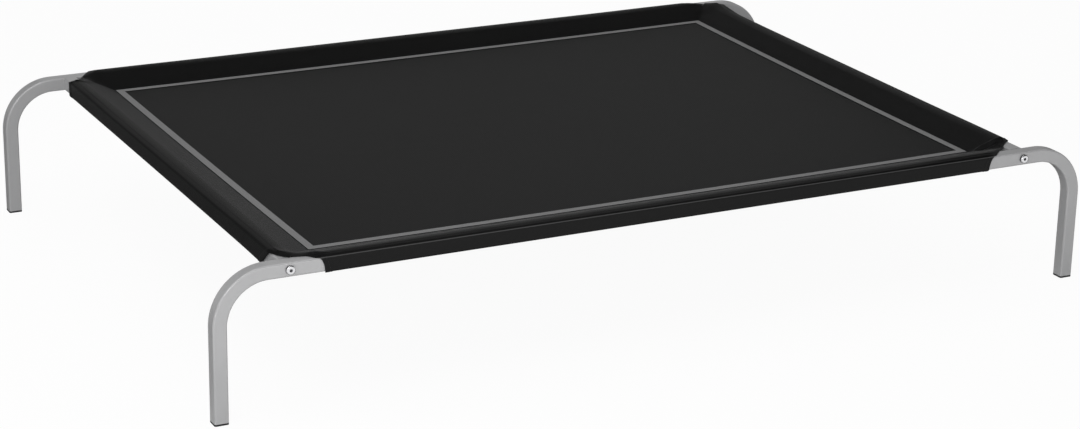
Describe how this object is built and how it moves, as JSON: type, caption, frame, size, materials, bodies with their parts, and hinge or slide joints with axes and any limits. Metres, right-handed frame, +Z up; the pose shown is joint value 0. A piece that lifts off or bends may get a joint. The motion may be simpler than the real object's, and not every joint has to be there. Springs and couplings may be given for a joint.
{
  "type": "raised pet bed",
  "caption": "Low raised pet bed: a grey square-tube frame on bent legs carries a stretched black fabric deck with a grey seam band.",
  "frame": {"origin": "on the floor, midway between the four feet", "axes": "+X along the bed's long side, +Y across it to the back, +Z up"},
  "size_m": [1.3, 0.9022, 0.2012],
  "materials": {
    "frame_coat": "satin light grey powder coat",
    "bare_steel": "plain drawn steel",
    "screw_zinc": "bright zinc plate",
    "cap_plastic": "matt black moulded",
    "cover_fabric": "black woven mesh, low sheen",
    "seam_tape": "mid grey flat tape"
  },
  "bodies": {
    "root": {"cover_deck": "cover_fabric", "cover_seam_band": "seam_tape", "cover_sleeve_back": "cover_fabric", "cover_sleeve_front": "cover_fabric", "cover_sleeve_left": "cover_fabric", "cover_sleeve_right": "cover_fabric", "foot_cap_back_left": "cap_plastic", "foot_cap_back_right": "cap_plastic", "foot_cap_front_left": "cap_plastic", "foot_cap_front_right": "cap_plastic", "frame_screw_back_left": "screw_zinc", "frame_screw_back_right": "screw_zinc", "frame_screw_front_left": "screw_zinc", "frame_screw_front_right": "screw_zinc", "leg_back_left": "frame_coat", "leg_back_right": "frame_coat", "leg_front_left": "frame_coat", "leg_front_right": "frame_coat", "long_rail_back": "frame_coat", "long_rail_front": "frame_coat", "rail_insert_back_left": "bare_steel", "rail_insert_back_right": "bare_steel", "rail_insert_front_left": "bare_steel", "rail_insert_front_right": "bare_steel", "rail_joiner_back_left": "bare_steel", "rail_joiner_back_right": "bare_steel", "rail_joiner_front_left": "bare_steel", "rail_joiner_front_right": "bare_steel", "short_rail_left": "frame_coat", "short_rail_right": "frame_coat"}
  },
  "joints": []
}
